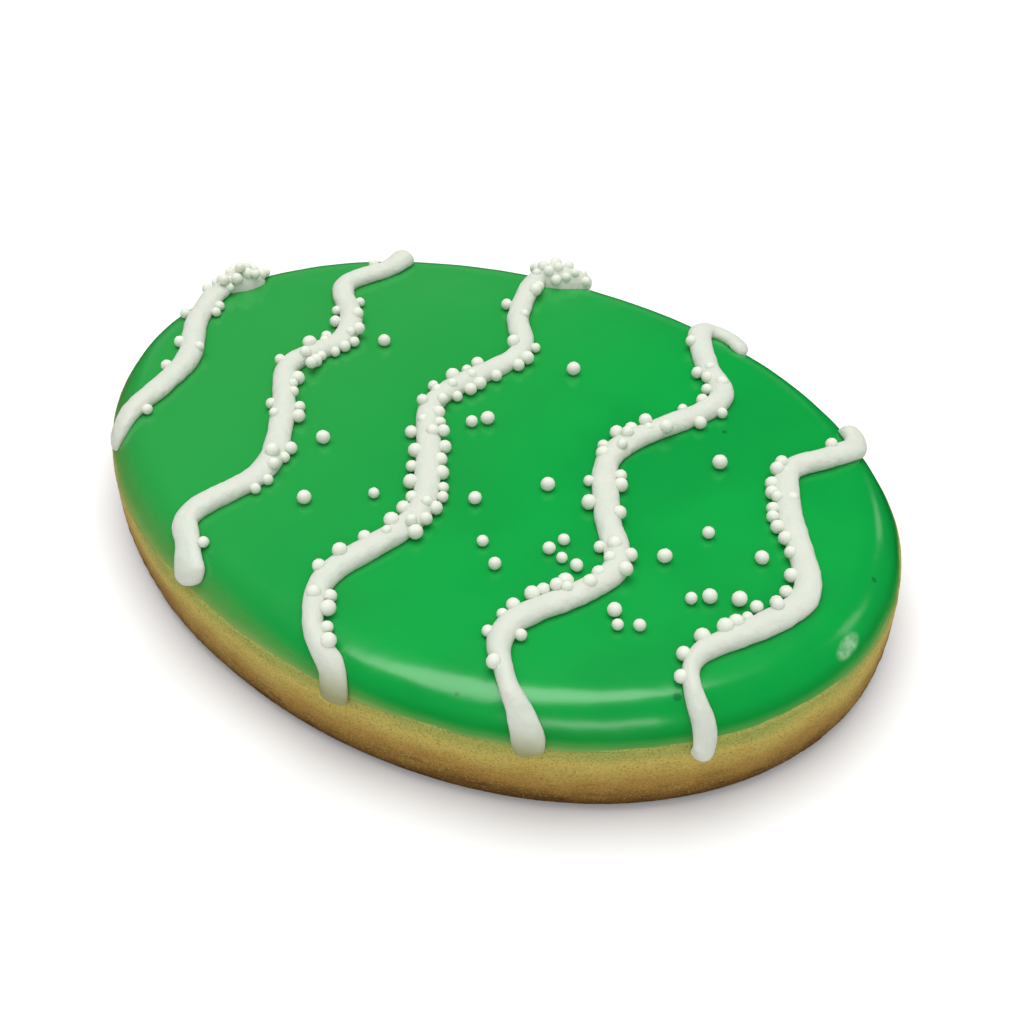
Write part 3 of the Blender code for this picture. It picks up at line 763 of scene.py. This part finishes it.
lone = lone_beads()
beads = list(lone)
for line in LINES:
    beads += beads_of_line(line, lone)
bpy.ops.object.select_all(action="DESELECT")
bpy.ops.mesh.primitive_ico_sphere_add(subdivisions=2, radius=1)
sample = bpy.context.object
bpy.ops.object.shade_smooth()
draw = random.Random(1)
for centre, radius in beads:
    ball = sample.copy()
    ball.data = sample.data.copy()
    bpy.context.scene.collection.objects.link(ball)
    squash = Matrix.Diagonal((draw.uniform(*SQUASH), draw.uniform(*SQUASH), 1, 1))
    turn = draw.uniform(0, math.tau)
    turned = Matrix.Rotation(turn, 4, Vector((draw.random(), draw.random(), 1)))
    ball.data.transform(Matrix.Translation(centre) @ turned @ squash @ Matrix.Scale(radius, 4))
    ball.select_set(True)
sample.select_set(False)
bpy.context.view_layer.objects.active = ball
bpy.ops.object.join()
strewn = bpy.context.object
strewn.name = "sugar_beads"
strewn.data.name = "sugar_beads"
bpy.data.objects.remove(sample)

material, tree, shader, place = new_finish("sugar bead", 0.55, 0.3)
shader.inputs["Subsurface Weight"].default_value = 0.1
shader.inputs["Subsurface Scale"].default_value = 0.4 * MM
colour = tint(tree, stains(tree, place, 1.5 * MM, 2), *BEAD_WHITES)
tree.links.new(colour, shader.inputs["Base Color"])
tree.links.new(bump(tree, stains(tree, place, 0.3 * MM, 2), 0.03 * MM), shader.inputs["Normal"])
strewn.data.materials.append(material)
set_down(strewn, "white_icing", *["piped_line_%d" % number for number in range(1, 6)])

# A pale floor, a big soft light overhead, a long one and a small one in front for the two
# sheens on the near shoulder, dim cards behind and at the right for its rim, and the
# camera that looks down on the near side.
FLOOR_SIZE = 3.0
CAMERA_TURN = math.radians(-36.4)
CAMERA_TILT = math.radians(42)
CAMERA_AWAY = 167 * MM
CAMERA_SLIDE = (-3.4 * MM, 0.7 * MM)
CAMERA_LENS = 48.09
FLOOR_COLOUR = (0.93, 0.93, 0.93, 1)
SKY_STRENGTH = 0.55

bpy.ops.object.select_all(action="DESELECT")
bpy.ops.mesh.primitive_plane_add(size=FLOOR_SIZE)
floor = bpy.context.object
floor.name = "floor"
material, tree, shader, place = new_finish("pale floor", 0.9, 0.1)
shader.inputs["Base Color"].default_value = FLOOR_COLOUR
floor.data.materials.append(material)
floor.visible_glossy = False


def softbox(name, place, aim, size, power):
    """A square or oblong light that faces a point."""
    bpy.ops.object.light_add(type="AREA", location=place)
    light = bpy.context.object
    light.name = name
    light.data.shape = "RECTANGLE"
    light.data.size, light.data.size_y = size
    light.data.energy = power
    light.rotation_euler = (Vector(aim) - Vector(place)).to_track_quat("-Z", "Y").to_euler()
    return light


overhead = softbox("overhead", (-0.10, 0.11, 0.60), (0, 0, 0), (0.56, 0.56), 3.1)
overhead.visible_glossy = False
top_sheen = softbox("top_sheen", (-0.05, -0.12, 0.58), (-0.02, 0, 0), (0.28, 0.66), 3.4)
top_sheen.visible_diffuse = False
softbox("front_sheen", (0.33, -0.40, 0.34), (0.03, -0.03, 0.01), (0.34, 0.09), 0.56)
softbox("back_card", (-0.33, 0.38, 0.15), (0, 0, 0.01), (0.66, 0.20), 0.10)
softbox("right_card", (0.14, 0.48, 0.12), (0.03, 0, 0.01), (0.08, 0.12), 0.05)
softbox("side_card", (0.33, 0.30, 0.21), (0.04, 0, 0.01), (0.07, 0.12), 0.08)

world = bpy.data.worlds.new("studio")
bpy.context.scene.world = world
world.use_nodes = True
background = world.node_tree.nodes["Background"]
background.inputs["Color"].default_value = (1, 1, 1, 1)
background.inputs["Strength"].default_value = SKY_STRENGTH
world.cycles_visibility.glossy = False
bpy.context.scene.view_settings.view_transform = "Standard"

right = Vector((math.cos(CAMERA_TURN), -math.sin(CAMERA_TURN), 0))
ahead_flat = Vector((math.sin(CAMERA_TURN), math.cos(CAMERA_TURN), 0))
down = -ahead_flat * math.sin(CAMERA_TILT) - Vector((0, 0, 1)) * math.cos(CAMERA_TILT)
ahead = ahead_flat * math.cos(CAMERA_TILT) - Vector((0, 0, 1)) * math.sin(CAMERA_TILT)
stand = -(right * CAMERA_SLIDE[0] + down * CAMERA_SLIDE[1] + ahead * CAMERA_AWAY) + MIDDLE
bpy.ops.object.camera_add()
camera = bpy.context.object
aimed = Matrix((right, -down, -ahead)).transposed().to_4x4()
camera.matrix_world = Matrix.Translation(stand) @ aimed
camera.data.lens = CAMERA_LENS
camera.data.sensor_width = 36
camera.data.clip_start = 0.01
bpy.context.scene.camera = camera
